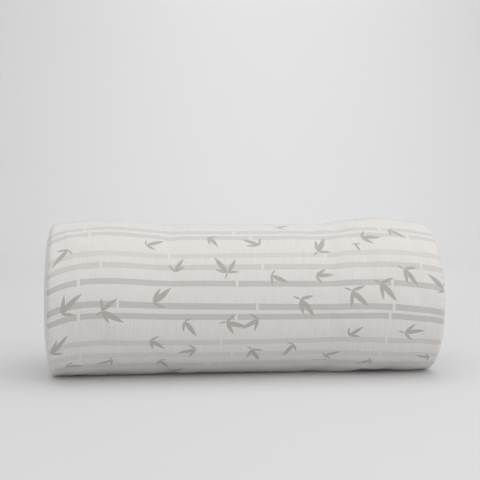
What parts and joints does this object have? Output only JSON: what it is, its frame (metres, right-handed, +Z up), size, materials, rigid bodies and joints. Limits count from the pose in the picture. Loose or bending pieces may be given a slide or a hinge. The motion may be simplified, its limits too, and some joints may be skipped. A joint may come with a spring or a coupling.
{
  "type": "rolled wedge pillow",
  "caption": "Foam wedge pillow in an off-white knitted cover with a light grey bamboo print, rolled up tight from its thick end and lying on its side.",
  "frame": {"origin": "centre of the roll's box in plan, on the surface it rests on", "axes": "+X runs along the roll, towards the right-hand end as the picture shows it; +Y points to the back, where the loose thin edge lies; +Z is up"},
  "size_m": [0.6216, 0.247, 0.244],
  "materials": {
    "printed_cover": "matt off-white knit with fine cross ribs, printed with light grey bamboo stalks and leaves"
  },
  "bodies": {
    "root": {"rolled_wedge_pillow": "printed_cover"}
  },
  "joints": []
}
